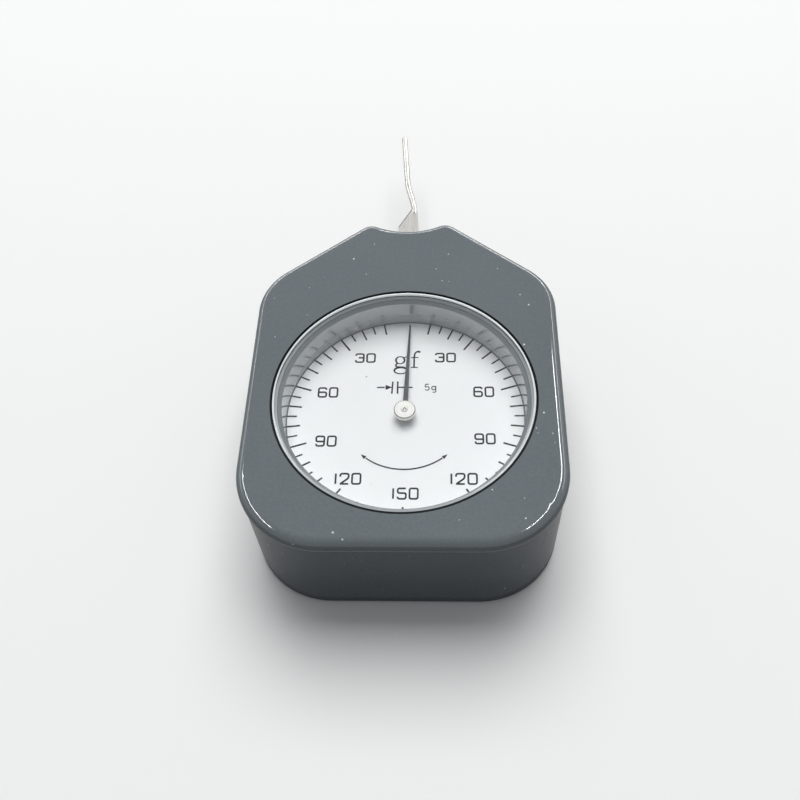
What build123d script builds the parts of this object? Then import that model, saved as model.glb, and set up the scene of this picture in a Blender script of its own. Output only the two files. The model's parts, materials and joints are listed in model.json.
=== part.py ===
from build123d import *
from math import acos, asin, atan2, cos, degrees, pi, radians, sin, tan
import os

os.makedirs("parts", exist_ok=True)

# A two-way dial tension gauge, in millimetres.
# The pointer turns on the Z axis, the back face lies at Z = 0, and the feeler points along +Y.

# Angles
quarter_turn = 90.0
half_turn = 180.0
full_turn = 360.0

# Fits
fixed_fit = 0.02        # radial gap between pieces that are pressed or screwed together
running_fit = 0.03      # radial gap of a pivot in its bush
cover_fit = 0.15        # gap round the cover's spigot
clear_gap = 0.40        # gap round a boss or a block
end_float = 0.10        # axial play of an arbor between its bushes
cut_overrun = 1.0       # how far a cut runs past what it cuts

# Case, seen from the front
face_side = 4.95        # face between the window's recess and the side
face_bottom = 6.2       # face between the window's recess and the bottom edge
bottom_corner = 16.0
shoulder_corner = 12.5
shoulder_slope = 38.7   # degrees from level
shoulder_rise = 11.4    # how much further out a slanted shoulder lies than the lever's pivot
bump_rise = 15.6        # lever's pivot to the top of the bumps beside the feeler
bump_radius = 3.0
notch_depth = 1.8       # dip between the bumps

# Case, front to back
edge_radius = 1.9
lip_depth = 2.2         # the rounded rim above the parting line
lip_overhang = 0.3      # how far that rim stands out past the wall
wall_thickness = 2.2
face_thickness = 2.5
slot_side_gap = 0.8     # from the blade at the end of its swing to the slot's end
slot_headroom = 1.6     # above and below the blade
cover_thickness = 2.6
cover_edge = 1.0
spigot_height = 1.8
spigot_thickness = 1.2
back_room = 2.6         # from the cover up to the rear plate

# Window
bore_radius = 23.2
bore_chamfer = 0.6      # where the bore meets the crystal's ledge
bore_chamfer_angle = 45
ledge_width = 1.55      # the crystal reaches this far past the bore
crystal_gap = 0.30
crystal_recess = 2.0
crystal_chamfer = 0.55
seal_thickness = 0.3
seal_edge = 0.2         # how far the seal keeps from both edges of its ledge
collar_wall = 2.8       # the collar that runs from the window to the dial

# Dial
dial_depth = 8.50       # front face down to the dial
dial_overlap = 1.6      # dial hidden under the collar
dial_thickness = 0.6
dial_foot_radius = 0.6
dial_foot_place = 18.0
dial_hole = 1.2
mark_height = 0.04      # the printed scale stands this proud
mark_margin = 0.05      # from the bore to the outer end of every line
first_mark = 10         # grams-force
last_mark = 150
mark_step = 5
ten_step = 10
major_step = 30
degrees_per_gram = half_turn / last_mark
five_mark_size = (0.31, 1.95)   # width and length of a line
ten_mark_size = (0.33, 2.65)
major_mark_size = (0.35, 3.35)

# Screws
cover_screw_head = 2.4
cover_screw_shank = 1.1
cover_screw_length = 9.0
cover_screw_sink = 0.15         # the head lies this far below the cover's face
movement_screw_head = 1.6
movement_screw_shank = 0.8
movement_screw_length = 5.4
pillar_screw_head = 1.5
pillar_screw_shank = 0.7
pillar_screw_length = 4.2
block_screw_head = 1.2
block_screw_shank = 0.5
block_screw_length = 3.0
clamp_screw_head = 1.0
clamp_screw_shank = 0.5
head_height_share = 0.6         # of a head's radius
slot_width_share = 0.3          # of a head's radius
slot_depth_share = 0.45         # of a head's height
block_screw_share = 0.25        # of the block's length, to each side of its middle

cover_boss = 2.8
boss_inset = 5.2        # from a corner's edge to the middle of its boss
boss_low_turn = -36.3   # degrees, about the bottom corner's middle
boss_high_turn = 2.0    # degrees, about the shoulder corner's middle
movement_boss = 2.3
movement_low_turn = -64.4       # degrees, about the pointer axis
movement_high_inset = 13.0      # from the side of the case
movement_high_drop = 2.0        # below the lever's pivot

# Movement plates
plate_thickness = 1.4
plate_past_bore = 0.4   # the round part that backs the dial reaches this far past the bore
plate_lobe = 3.0        # round the screws that hold the movement
rear_lobe = 3.6         # round the pillars
pillar_radius = 2.0
pillar_spigot = 1.2
pillar_low_inset = 2.3  # from the front plate's round edge
pillar_low_turn = -41.2         # degrees, about the pointer axis
pillar_high_inset = 14.0        # from the side of the case
pillar_high_drop = 8.0          # below the lever's pivot
pivot_lobe = 5.0        # plate round the lever's pivot
bush_radius = 1.8
bush_flange = 2.6
bush_flange_height = 0.5

# Gearing
gear_module = 0.25
pinion_teeth = 16
gear_ratio = 13.5
pressure_angle = 20.0
backlash = 0.05
pinion_addendum_share = 0.95    # of the module
sector_addendum_share = 0.85
dedendum_share = 1.25
flank_shares = (0.0, 0.5, 1.0)  # points up a tooth's flank, from its foot to its tip
sector_teeth = 21
pinion_length = 2.2
pinion_radius = gear_module * pinion_teeth / 2
sector_radius = pinion_radius * gear_ratio
pivot_place = pinion_radius + sector_radius
lever_swing = half_turn / gear_ratio

# Lever
blade_thickness = 1.0
blade_left = 3.65       # blade edges inside the case, from the centre line
blade_right = 2.1
blade_straight = 7.2    # blade out of the notch before it narrows
blade_narrowing = 6.4   # from there to where the left edge turns in
blade_slant = 5.5       # from there to the rod
blade_left_out = 2.8    # left edge where it turns in
blade_bevel = 0.45      # ground bevel on the slanting edge
rod_radius = 0.625
rod_offset = 0.66       # the rod's root lies to the right of the centre line
rod_overlap = 1.7       # rod inside the blade
rod_straight = 0.3      # rod above the blade before its first bend
rod_lean = (-1.71, 7.7)         # from the first bend to the second
rod_end = (-1.22, 17.3)         # from the second bend to the tip
rod_bend_radius = 5.0
rod_tip_round = 0.5

lever_arbor_radius = 1.5
lever_pivot_radius = 0.8
hub_radius = 4.4
hub_height = 1.3
sector_thickness = 1.0
sector_rim = 2.4        # metal behind the teeth
outer_spoke = 3.6       # degrees
middle_spoke = 7.0      # degrees, to each side of the middle
lever_collar_radius = 1.95
lever_collar_height = 1.2
collar_room = 0.30      # from the collar up to the front bush
pivot_inset = 0.2       # a pivot ends this far inside its plate
rivet_radius = 0.6
rivet_head = 0.95
rivet_head_height = 0.3
rivet_place = 3.0       # from the lever's pivot, to each side
pin_spigot = 0.7
drive_pin_radius = 1.1
drive_pin_inset = 8.0   # inside the sector's pitch circle

# Measuring springs
leaf_thickness = 0.25
leaf_height = 2.2
leaf_lift = 1.5         # rear plate to the lower edge of the leaves
sector_room = 1.2       # from the leaves up to the sector
block_cap = 0.3         # block above the leaves
leaf_slack = 0.05       # from a pin to a leaf at rest
leaf_past_pin = 1.6     # leaf beyond the drive pin's middle
block_room = 4.75       # from the wall's inside to the block
block_length = 7.0
block_width = 6.4
foot_height = 1.3       # the block's foot, under the leaves
clamp_thickness = 1.6
zero_pin_spacing = 3.0  # below the drive pin
travel_pin_radius = 1.0
travel_pin_inset = 6.0  # inside the sector's pitch circle
travel_margin = 0.8     # degrees past the end of the scale

# Pointer
pointer_arbor_radius = 0.75
pointer_pivot_radius = 0.5
pointer_neck_radius = 0.6
pointer_boss_radius = 1.2
pointer_boss_height = 0.85
dial_to_boss = 0.3
needle_thickness = 0.22
needle_eye = 1.75
needle_root_width = 1.05
needle_tip_width = 0.32
needle_short = 1.55     # the needle ends this far inside the lines' outer ends
needle_rest = -1.7      # degrees, the needle rests a little to the right of zero
cap_radius = 2.1
cap_height = 1.1
cap_chamfer = 0.2
arbor_proud = 0.15      # the arbor's end above the cap

# Hairspring
collet_radius = 1.35
collet_height = 0.9
hairspring_width = 0.15
hairspring_height = 0.5
hairspring_pitch = 1.0
hairspring_half_turns = 11
stud_radius = 0.6

# Heights from the back face, stacked up to the front: the case is as deep as what it holds
rear_plate_back = cover_thickness + back_room
rear_plate_top = rear_plate_back + plate_thickness
flange_top = rear_plate_top + bush_flange_height
leaf_back = rear_plate_top + leaf_lift
leaf_top = leaf_back + leaf_height
sector_back = leaf_top + sector_room
hub_back = sector_back - hub_height
blade_back = sector_back + sector_thickness
lever_height = blade_back + blade_thickness / 2
collar_back = blade_back + blade_thickness
collar_front = collar_back + lever_collar_height
flange_bottom = collar_front + collar_room
front_plate_back = flange_bottom + bush_flange_height
dial_back = front_plate_back + plate_thickness
dial_top = dial_back + dial_thickness
case_depth = dial_top + dial_depth
face_back = case_depth - face_thickness
ledge_height = case_depth - crystal_recess
lip_height = case_depth - lip_depth
needle_back = dial_top + dial_to_boss + pointer_boss_height
cap_back = needle_back + needle_thickness
cap_top = cap_back + cap_height
collet_top = flange_bottom - end_float
collet_back = collet_top - collet_height
hairspring_back = collet_back + (collet_height - hairspring_height) / 2
cover_head_top = cover_screw_sink + cover_screw_head * head_height_share
wall_inset = lip_overhang + wall_thickness
leaf_inner = drive_pin_radius + leaf_slack
leaf_outer = leaf_inner + leaf_thickness

# Places seen from the front, outwards from the window and along the lever
crystal_radius = bore_radius + ledge_width
recess_radius = crystal_radius + crystal_gap
collar_radius = bore_radius + collar_wall
dial_radius = bore_radius + dial_overlap
mark_rim = bore_radius - mark_margin
needle_reach = mark_rim - needle_short
plate_rim = bore_radius + plate_past_bore
half_width = recess_radius + face_side
bottom_reach = recess_radius + face_bottom
shoulder_reach = pivot_place + shoulder_rise
bump_top = pivot_place + bump_rise
shoulder_x = half_width - shoulder_corner
shoulder_y = (
    shoulder_reach - shoulder_corner - shoulder_x * sin(radians(shoulder_slope))
) / cos(radians(shoulder_slope))
corner_x = half_width - bottom_corner
corner_y = bottom_corner - bottom_reach
blade_taper = bump_top - notch_depth + blade_straight
blade_shoulder = blade_taper + blade_narrowing
blade_neck = blade_shoulder + blade_slant
drive_pin_place = sector_radius - drive_pin_inset
drive_pin_y = pivot_place - drive_pin_place
zero_pin_place = drive_pin_y - zero_pin_spacing
travel_pin_ring = sector_radius - travel_pin_inset
block_end = block_room + wall_inset - bottom_reach
block_middle = block_end + block_length / 2


def turned_place(radius, turn, middle=(0, 0)):
    # The place at a radius and an angle about a middle.
    return (middle[0] + radius * cos(radians(turn)), middle[1] + radius * sin(radians(turn)))


def both_sides(*places):
    # The same places on the right and on the left.
    return [(side * x, y) for x, y in places for side in (1, -1)]


cover_screw_places = both_sides(
    turned_place(bottom_corner - boss_inset, boss_low_turn, (corner_x, corner_y)),
    turned_place(shoulder_corner - boss_inset, boss_high_turn, (shoulder_x, shoulder_y)),
)
movement_screw_places = both_sides(
    turned_place(dial_radius + clear_gap + movement_boss, movement_low_turn),
    (half_width - movement_high_inset, pivot_place - movement_high_drop),
)
pillar_places = both_sides(
    turned_place(plate_rim - pillar_low_inset, pillar_low_turn),
    (half_width - pillar_high_inset, pivot_place - pillar_high_drop),
)
block_screw_reach = block_length * block_screw_share
block_screw_places = [(0, block_middle + side * block_screw_reach) for side in (1, -1)]


def lower_outline(inset):
    # The right-hand edge from the middle of the bottom up to the slanted shoulder.
    shoulder_turn = quarter_turn - shoulder_slope
    corner = CenterArc((corner_x, corner_y), bottom_corner - inset, -quarter_turn, quarter_turn)
    shoulder = CenterArc((shoulder_x, shoulder_y), shoulder_corner - inset, 0, shoulder_turn)
    Line((0, inset - bottom_reach), corner @ 0)
    Line(corner @ 1, shoulder @ 0)
    return shoulder @ 1


def case_outline(inset):
    # The outside of the case, moved inwards by the inset: lines and arcs that all meet tangent.
    slope = radians(shoulder_slope)
    shoulder_turn = quarter_turn - shoulder_slope
    bump_y = bump_top - bump_radius
    bump_x = (shoulder_reach - bump_radius - bump_y * cos(slope)) / sin(slope)
    bump_drop = bump_radius - notch_depth
    notch_radius = (bump_x**2 + bump_drop**2 - bump_radius**2) / (2 * notch_depth)
    notch_y = bump_top - notch_depth + notch_radius
    notch_turn = degrees(atan2(notch_y - bump_y, bump_x))
    bump_turn = half_turn - notch_turn - shoulder_turn
    with BuildLine() as outline:
        shoulder_end = lower_outline(inset)
        bump = CenterArc((bump_x, bump_y), bump_radius - inset, shoulder_turn, bump_turn)
        CenterArc((0, notch_y), notch_radius + inset, -notch_turn, notch_turn - quarter_turn)
        Line(shoulder_end, bump @ 0)
        mirror(about=Plane.YZ)
    make_face(outline.edges())


def cavity_outline(inset, mode=Mode.ADD):
    # The inside of the case: the same edge with a flat top under the notch.
    slope = radians(shoulder_slope)
    top = bump_top - notch_depth - inset
    top_corner = (shoulder_reach - inset - top * cos(slope)) / sin(slope)
    with BuildLine() as outline:
        shoulder_end = lower_outline(inset)
        Line(shoulder_end, (top_corner, top))
        Line((top_corner, top), (0, top))
        mirror(about=Plane.YZ)
    make_face(outline.edges(), mode=mode)


def discs(height, radius, places=((0, 0),)):
    # Circles of one radius in a level sketch at a height.
    with BuildSketch(Plane.XY.offset(height)) as sketch:
        with Locations(*places):
            Circle(radius)
    return sketch.sketch


def post(bottom, top, radius, places=((0, 0),), mode=Mode.ADD):
    # Upright round posts, or holes, between two heights.
    extrude(discs(bottom, radius, places), amount=top - bottom, mode=mode)


def slotted_screws(head_radius, shank_radius, length, head_top, places):
    # Screws whose heads face the back, with the slot cut along X.
    head_height = head_radius * head_height_share
    head_bottom = head_top - head_height
    with BuildPart() as screws:
        post(head_bottom, head_top, head_radius, places)
        chamfer(screws.edges().group_by(Axis.Z)[0], head_height * slot_depth_share / 2)
        post(head_top, head_top + length, shank_radius, places)
        with BuildSketch(Plane.XY.offset(head_bottom)):
            with Locations(*places):
                Rectangle(2 * head_radius + cut_overrun, head_radius * slot_width_share)
        extrude(amount=head_height * slot_depth_share, mode=Mode.SUBTRACT)
    return screws.part


def tooth_angle(radius, base, pitch, teeth):
    # Half of a tooth's angle at a radius, in degrees, for an involute flank.
    def rolled(at):
        turn = acos(min(base / at, 1))
        return tan(turn) - turn

    half_tooth = pi / (2 * teeth) - backlash / (4 * pitch)
    return degrees(half_tooth + rolled(pitch) - rolled(max(radius, base)))


def gear_points(pitch, full_teeth, addendum, first_tooth, last_tooth):
    # Points round a run of teeth, from the first tooth to the last, with a tooth at angle 0.
    base = pitch * cos(radians(pressure_angle))
    foot = pitch - gear_module * dedendum_share
    tip = pitch + addendum
    tooth_step = full_turn / full_teeth
    points = []
    for tooth in range(first_tooth, last_tooth + 1):
        for side, shares in ((-1, flank_shares), (1, flank_shares[::-1])):
            for share in shares:
                radius = foot + (tip - foot) * share
                spread = side * tooth_angle(radius, base, pitch, full_teeth)
                turn = radians(tooth * tooth_step + spread)
                points.append((radius * cos(turn), radius * sin(turn)))
    return points


def wedge(inner, outer, start, end, mode=Mode.ADD):
    # A flat piece between two radii and two angles about the sketch's own origin.
    with BuildLine() as outline:
        far = CenterArc((0, 0), outer, start, end - start)
        near = CenterArc((0, 0), inner, start, end - start)
        Line(near @ 0, far @ 0)
        Line(near @ 1, far @ 1)
    make_face(outline.edges(), mode=mode)


def finish(part, name):
    # Names a finished piece and writes its file.
    part.label = name
    export_step(part, f"parts/{name}.step")


# Front case: face, rounded rim, wall, collar down to the dial, and screw bosses
with BuildPart() as front_case:
    with BuildSketch(Plane.XY.offset(lip_height)):
        case_outline(0)
    extrude(amount=lip_depth)
    fillet(front_case.edges().group_by(Axis.Z)[-1], edge_radius)
    with BuildSketch(Plane.XY.offset(cover_thickness)):
        case_outline(lip_overhang)
    extrude(amount=lip_height - cover_thickness)
    with BuildSketch(Plane.XY.offset(cover_thickness)):
        cavity_outline(wall_inset)
    extrude(amount=face_back - cover_thickness, mode=Mode.SUBTRACT)
    post(dial_top, face_back, collar_radius)
    post(dial_back, face_back, movement_boss, movement_screw_places)
    post(cover_thickness, face_back, cover_boss, cover_screw_places)
    post(dial_top, case_depth, bore_radius, mode=Mode.SUBTRACT)
    bore_mouth = discs(ledge_height - bore_chamfer, bore_radius)
    extrude(bore_mouth, amount=bore_chamfer, taper=-bore_chamfer_angle, mode=Mode.SUBTRACT)
    post(ledge_height, case_depth, recess_radius, mode=Mode.SUBTRACT)
    post(
        cover_thickness,
        cover_head_top + cover_screw_length + fixed_fit,
        cover_screw_shank + fixed_fit,
        cover_screw_places,
        Mode.SUBTRACT,
    )
    post(
        dial_back,
        front_plate_back + movement_screw_length + fixed_fit,
        movement_screw_shank + fixed_fit,
        movement_screw_places,
        Mode.SUBTRACT,
    )
    slot_reach = bump_top - pivot_place
    slot_half = blade_left * cos(radians(lever_swing)) + slot_reach * sin(radians(lever_swing))
    slot_half += slot_side_gap
    slot_height = blade_thickness + 2 * slot_headroom
    slot_length = bump_radius + notch_depth + wall_inset + cut_overrun
    with BuildSketch(Plane.XY.offset(lever_height - slot_height / 2)):
        with Locations((0, bump_top - slot_length / 2)):
            Rectangle(2 * slot_half, slot_length + cut_overrun)
    extrude(amount=slot_height, mode=Mode.SUBTRACT)
finish(front_case.part, "front_case")

# Back cover: a plate with a spigot that stops short round the screw bosses
with BuildPart() as back_cover:
    with BuildSketch():
        case_outline(lip_overhang)
    extrude(amount=cover_thickness)
    fillet(back_cover.edges().group_by(Axis.Z)[0], cover_edge)
    with BuildSketch(Plane.XY.offset(cover_thickness)):
        cavity_outline(wall_inset + cover_fit)
        cavity_outline(wall_inset + cover_fit + spigot_thickness, Mode.SUBTRACT)
        with Locations(*cover_screw_places):
            Circle(cover_boss + clear_gap, mode=Mode.SUBTRACT)
    extrude(amount=spigot_height)
    post(
        0,
        cover_head_top,
        cover_screw_head + fixed_fit,
        cover_screw_places,
        Mode.SUBTRACT,
    )
    post(0, cover_thickness, cover_screw_shank + fixed_fit, cover_screw_places, Mode.SUBTRACT)
finish(back_cover.part, "back_cover")

# Cover screws
cover_screws = slotted_screws(
    cover_screw_head, cover_screw_shank, cover_screw_length, cover_head_top, cover_screw_places
)
finish(cover_screws, "cover_screws")

# Seal ring on the ledge of the window
with BuildPart() as crystal_seal:
    post(ledge_height, ledge_height + seal_thickness, crystal_radius - seal_edge)
    seal_inner = bore_radius + bore_chamfer + seal_edge
    post(ledge_height, ledge_height + seal_thickness, seal_inner, mode=Mode.SUBTRACT)
finish(crystal_seal.part, "crystal_seal")

# Flat crystal with a chamfered rim
with BuildPart() as crystal:
    post(ledge_height + seal_thickness, case_depth, crystal_radius)
    chamfer(crystal.edges().group_by(Axis.Z)[-1], crystal_chamfer)
finish(crystal.part, "crystal")

# Dial plate with its centre hole and two feet
dial_feet = both_sides((dial_foot_place, 0))
with BuildPart() as dial_plate:
    post(dial_back, dial_top, dial_radius)
    post(dial_back - plate_thickness, dial_back, dial_foot_radius, dial_feet)
    post(dial_back, dial_top, dial_hole, mode=Mode.SUBTRACT)
finish(dial_plate.part, "dial_plate")


def mark_size(grams):
    # Width and length of the line for a load.
    if grams % major_step == 0:
        return major_mark_size
    if grams % ten_step == 0:
        return ten_mark_size
    return five_mark_size


# Printed lines of the scale, from the zero at the top down both sides
loads = range(first_mark, last_mark + mark_step, mark_step)
turns = [(load, side) for load in loads for side in (1, -1) if side * load != -last_mark]
with BuildPart() as dial_scale:
    with BuildSketch(Plane.XY.offset(dial_top)):
        for load, side in turns:
            width, length = mark_size(load)
            with Locations(Rotation(0, 0, side * load * degrees_per_gram)):
                with Locations((0, mark_rim - length / 2)):
                    Rectangle(width, length)
    extrude(amount=mark_height)
finish(dial_scale.part, "dial_scale")


def bush(bottom, hole, place, flange_at):
    # A flanged bush in a movement plate, with its flange on the side between the plates.
    with BuildPart() as made:
        post(bottom, bottom + plate_thickness, bush_radius, [place])
        post(flange_at, flange_at + bush_flange_height, bush_flange, [place])
        post(
            bottom - cut_overrun,
            bottom + plate_thickness + cut_overrun,
            hole + running_fit,
            [place],
            Mode.SUBTRACT,
        )
    return made.part


# Bushes for the pointer's and the lever's arbors
pivot = (0, pivot_place)
finish(bush(front_plate_back, pointer_neck_radius, (0, 0), flange_bottom), "pointer_bush_front")
finish(bush(rear_plate_back, pointer_pivot_radius, (0, 0), rear_plate_top), "pointer_bush_rear")
finish(bush(front_plate_back, lever_pivot_radius, pivot, flange_bottom), "lever_bush_front")
finish(bush(rear_plate_back, lever_pivot_radius, pivot, rear_plate_top), "lever_bush_rear")

# Front movement plate: backs the dial and screws to the case
with BuildPart() as front_plate:
    with BuildSketch(Plane.XY.offset(front_plate_back)):
        Circle(plate_rim)
        with Locations(*movement_screw_places):
            Circle(plate_lobe)
        with Locations(pivot):
            Circle(pivot_lobe)
        make_hull()
    extrude(amount=plate_thickness)
    for radius, places in (
        (bush_radius, [(0, 0), pivot]),
        (movement_screw_shank, movement_screw_places),
        (pillar_spigot, pillar_places),
        (dial_foot_radius, dial_feet),
    ):
        post(front_plate_back, dial_back, radius + fixed_fit, places, Mode.SUBTRACT)
finish(front_plate.part, "front_plate")

# Rear movement plate
full_teeth = pinion_teeth * gear_ratio
sector_half = half_turn * sector_teeth / full_teeth
pin_turn = degrees(asin(travel_pin_radius / travel_pin_ring))
travel_turn = radians(lever_swing + travel_margin + sector_half + pin_turn)
travel_x = travel_pin_ring * sin(travel_turn)
travel_y = pivot_place - travel_pin_ring * cos(travel_turn)
travel_places = both_sides((travel_x, travel_y))
zero_place = [(0, zero_pin_place)]
with BuildPart() as rear_plate:
    with BuildSketch(Plane.XY.offset(rear_plate_back)):
        with Locations(*pillar_places):
            Circle(rear_lobe)
        with Locations(pivot):
            Circle(pivot_lobe)
        with Locations((0, block_middle)):
            Rectangle(block_width + 2 * clear_gap, block_length + 2 * clear_gap)
        make_hull()
    extrude(amount=plate_thickness)
    for radius, places in (
        (bush_radius, [(0, 0), pivot]),
        (pillar_screw_shank, pillar_places),
        (block_screw_shank, block_screw_places),
        (pin_spigot, zero_place + travel_places),
    ):
        post(rear_plate_back, rear_plate_top, radius + fixed_fit, places, Mode.SUBTRACT)
finish(rear_plate.part, "rear_plate")

# Pillars that hold the plates apart, spigoted into the front plate
with BuildPart() as plate_pillars:
    post(rear_plate_top, front_plate_back, pillar_radius, pillar_places)
    post(front_plate_back, dial_back, pillar_spigot, pillar_places)
    post(
        rear_plate_top,
        rear_plate_back + pillar_screw_length + fixed_fit,
        pillar_screw_shank + fixed_fit,
        pillar_places,
        Mode.SUBTRACT,
    )
finish(plate_pillars.part, "plate_pillars")

# Screws inside the case
finish(
    slotted_screws(
        movement_screw_head,
        movement_screw_shank,
        movement_screw_length,
        front_plate_back,
        movement_screw_places,
    ),
    "movement_screws",
)
finish(
    slotted_screws(
        pillar_screw_head,
        pillar_screw_shank,
        pillar_screw_length,
        rear_plate_back,
        pillar_places,
    ),
    "pillar_screws",
)
finish(
    slotted_screws(
        block_screw_head,
        block_screw_shank,
        block_screw_length,
        rear_plate_back,
        block_screw_places,
    ),
    "block_screws",
)

# Stop pins: one for the leaves at zero, two for the sector past full scale
with BuildPart() as zero_pin:
    post(rear_plate_back, rear_plate_top, pin_spigot, zero_place)
    post(rear_plate_top, leaf_top, drive_pin_radius, zero_place)
finish(zero_pin.part, "zero_pin")
with BuildPart() as travel_pins:
    post(rear_plate_back, rear_plate_top, pin_spigot, travel_places)
    post(rear_plate_top, blade_back, travel_pin_radius, travel_places)
finish(travel_pins.part, "travel_pins")

# Block that holds the feet of the two leaf springs, its clamps and their screws
block_top = leaf_top + block_cap
foot_top = rear_plate_top + foot_height
clamp_outer = leaf_outer + clamp_thickness
leaf_middle = leaf_back + leaf_height / 2
clamp_screw_places = [(y, leaf_middle) for x, y in block_screw_places]


def cross_holes(reach):
    # The clamp screws' holes, along X through what stands between the clamps.
    with BuildSketch(Plane.YZ.offset(-reach)) as holes:
        with Locations(*clamp_screw_places):
            Circle(clamp_screw_shank + fixed_fit)
    extrude(holes.sketch, amount=2 * reach, mode=Mode.SUBTRACT)


with BuildPart() as spring_block:
    with BuildSketch(Plane.XY.offset(rear_plate_top)):
        with Locations((0, block_middle)):
            Rectangle(block_width, block_length)
    extrude(amount=foot_height)
    with BuildSketch(Plane.XY.offset(foot_top)):
        with Locations((0, block_middle)):
            Rectangle(2 * leaf_inner, block_length)
    extrude(amount=block_top - foot_top)
    cross_holes(clamp_outer)
    post(
        rear_plate_top,
        rear_plate_back + block_screw_length + fixed_fit,
        block_screw_shank + fixed_fit,
        block_screw_places,
        Mode.SUBTRACT,
    )
finish(spring_block.part, "spring_block")

with BuildPart() as spring_clamps:
    with BuildSketch(Plane.XY.offset(foot_top)):
        with Locations(*both_sides((leaf_outer + clamp_thickness / 2, block_middle))):
            Rectangle(clamp_thickness, block_length)
    extrude(amount=block_top - foot_top)
    cross_holes(clamp_outer)
finish(spring_clamps.part, "spring_clamps")

with BuildPart() as clamp_screws:
    with BuildSketch(Plane.YZ.offset(-clamp_outer)):
        with Locations(*clamp_screw_places):
            Circle(clamp_screw_shank)
    extrude(amount=2 * clamp_outer)
    with BuildSketch(Plane.YZ.offset(clamp_outer)):
        with Locations(*clamp_screw_places):
            Circle(clamp_screw_head)
    extrude(amount=clamp_screw_head * head_height_share)
finish(clamp_screws.part, "clamp_screws")

# Leaf springs, one on each side of the pins
leaf_length = drive_pin_y + leaf_past_pin - block_end
for side, name in ((-1, "leaf_spring_left"), (1, "leaf_spring_right")):
    with BuildPart() as leaf:
        with BuildSketch(Plane.XY.offset(leaf_back)):
            with Locations((side * (leaf_inner + leaf_outer) / 2, block_end + leaf_length / 2)):
                Rectangle(leaf_thickness, leaf_length)
        extrude(amount=leaf_height)
        cross_holes(clamp_outer)
    finish(leaf.part, name)

# Feeler lever: a flat blade that narrows into a bent round rod
rivet_places = [(side * rivet_place, pivot_place) for side in (1, -1)]
shoulder_point = (-blade_left_out, blade_shoulder)
neck_left = (rod_offset - rod_radius, blade_neck)
neck_right = (rod_offset + rod_radius, blade_neck)
rod_root = (rod_offset, blade_neck - rod_overlap)
rod_first_bend = (rod_offset, blade_neck + rod_straight)
rod_second_bend = (rod_first_bend[0] + rod_lean[0], rod_first_bend[1] + rod_lean[1])
rod_tip = (rod_second_bend[0] + rod_end[0], rod_second_bend[1] + rod_end[1])
with BuildPart() as feeler_lever:
    with BuildSketch(Plane.XY.offset(blade_back)):
        with BuildLine():
            Polyline(
                (-blade_left, pivot_place),
                (-blade_left, blade_taper),
                shoulder_point,
                neck_left,
                neck_right,
                (blade_right, blade_taper),
                (blade_right, pivot_place),
                close=True,
            )
        make_face()
        with Locations(pivot):
            Circle(hub_radius)
    extrude(amount=blade_thickness)
    slant_middle = (
        (shoulder_point[0] + neck_left[0]) / 2,
        (blade_shoulder + blade_neck) / 2,
        blade_back + blade_thickness,
    )
    slant = feeler_lever.edges().sort_by_distance(slant_middle)[0]
    chamfer(slant, blade_bevel)
    with BuildLine(Plane.XY.offset(lever_height)) as rod_line:
        FilletPolyline(
            rod_root,
            rod_first_bend,
            rod_second_bend,
            rod_tip,
            radius=rod_bend_radius,
        )
    with BuildSketch(Plane(origin=rod_line.line @ 0, z_dir=rod_line.line % 0)):
        Circle(rod_radius)
    sweep(path=rod_line.line)
    fillet(feeler_lever.faces().sort_by(Axis.Y)[-1].edges(), rod_tip_round)
    for radius, places in ((lever_arbor_radius, [pivot]), (rivet_radius, rivet_places)):
        post(blade_back, blade_back + blade_thickness, radius + fixed_fit, places, Mode.SUBTRACT)
finish(feeler_lever.part, "feeler_lever")

# Arbor of the lever
arbor_back = flange_top + end_float / 2
arbor_front = flange_bottom - end_float / 2
with BuildPart() as lever_arbor:
    post(arbor_back, arbor_front, lever_arbor_radius, [pivot])
    post(rear_plate_back + pivot_inset, arbor_back, lever_pivot_radius, [pivot])
    post(arbor_front, dial_back - pivot_inset, lever_pivot_radius, [pivot])
finish(lever_arbor.part, "lever_arbor")

# Hub under the sector, and the collar above the blade
with BuildPart() as lever_hub:
    post(hub_back, sector_back, hub_radius, [pivot])
    for radius, places in ((lever_arbor_radius, [pivot]), (rivet_radius, rivet_places)):
        post(hub_back, sector_back, radius + fixed_fit, places, Mode.SUBTRACT)
finish(lever_hub.part, "lever_hub")
with BuildPart() as lever_collar:
    post(collar_back, collar_front, lever_collar_radius, [pivot])
    post(collar_back, collar_front, lever_arbor_radius + fixed_fit, [pivot], Mode.SUBTRACT)
finish(lever_collar.part, "lever_collar")

# Rivets through hub, sector and blade
with BuildPart() as sector_rivets:
    post(hub_back, collar_back, rivet_radius, rivet_places)
    post(hub_back - rivet_head_height, hub_back, rivet_head, rivet_places)
    post(collar_back, collar_back + rivet_head_height, rivet_head, rivet_places)
finish(sector_rivets.part, "sector_rivets")

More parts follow.
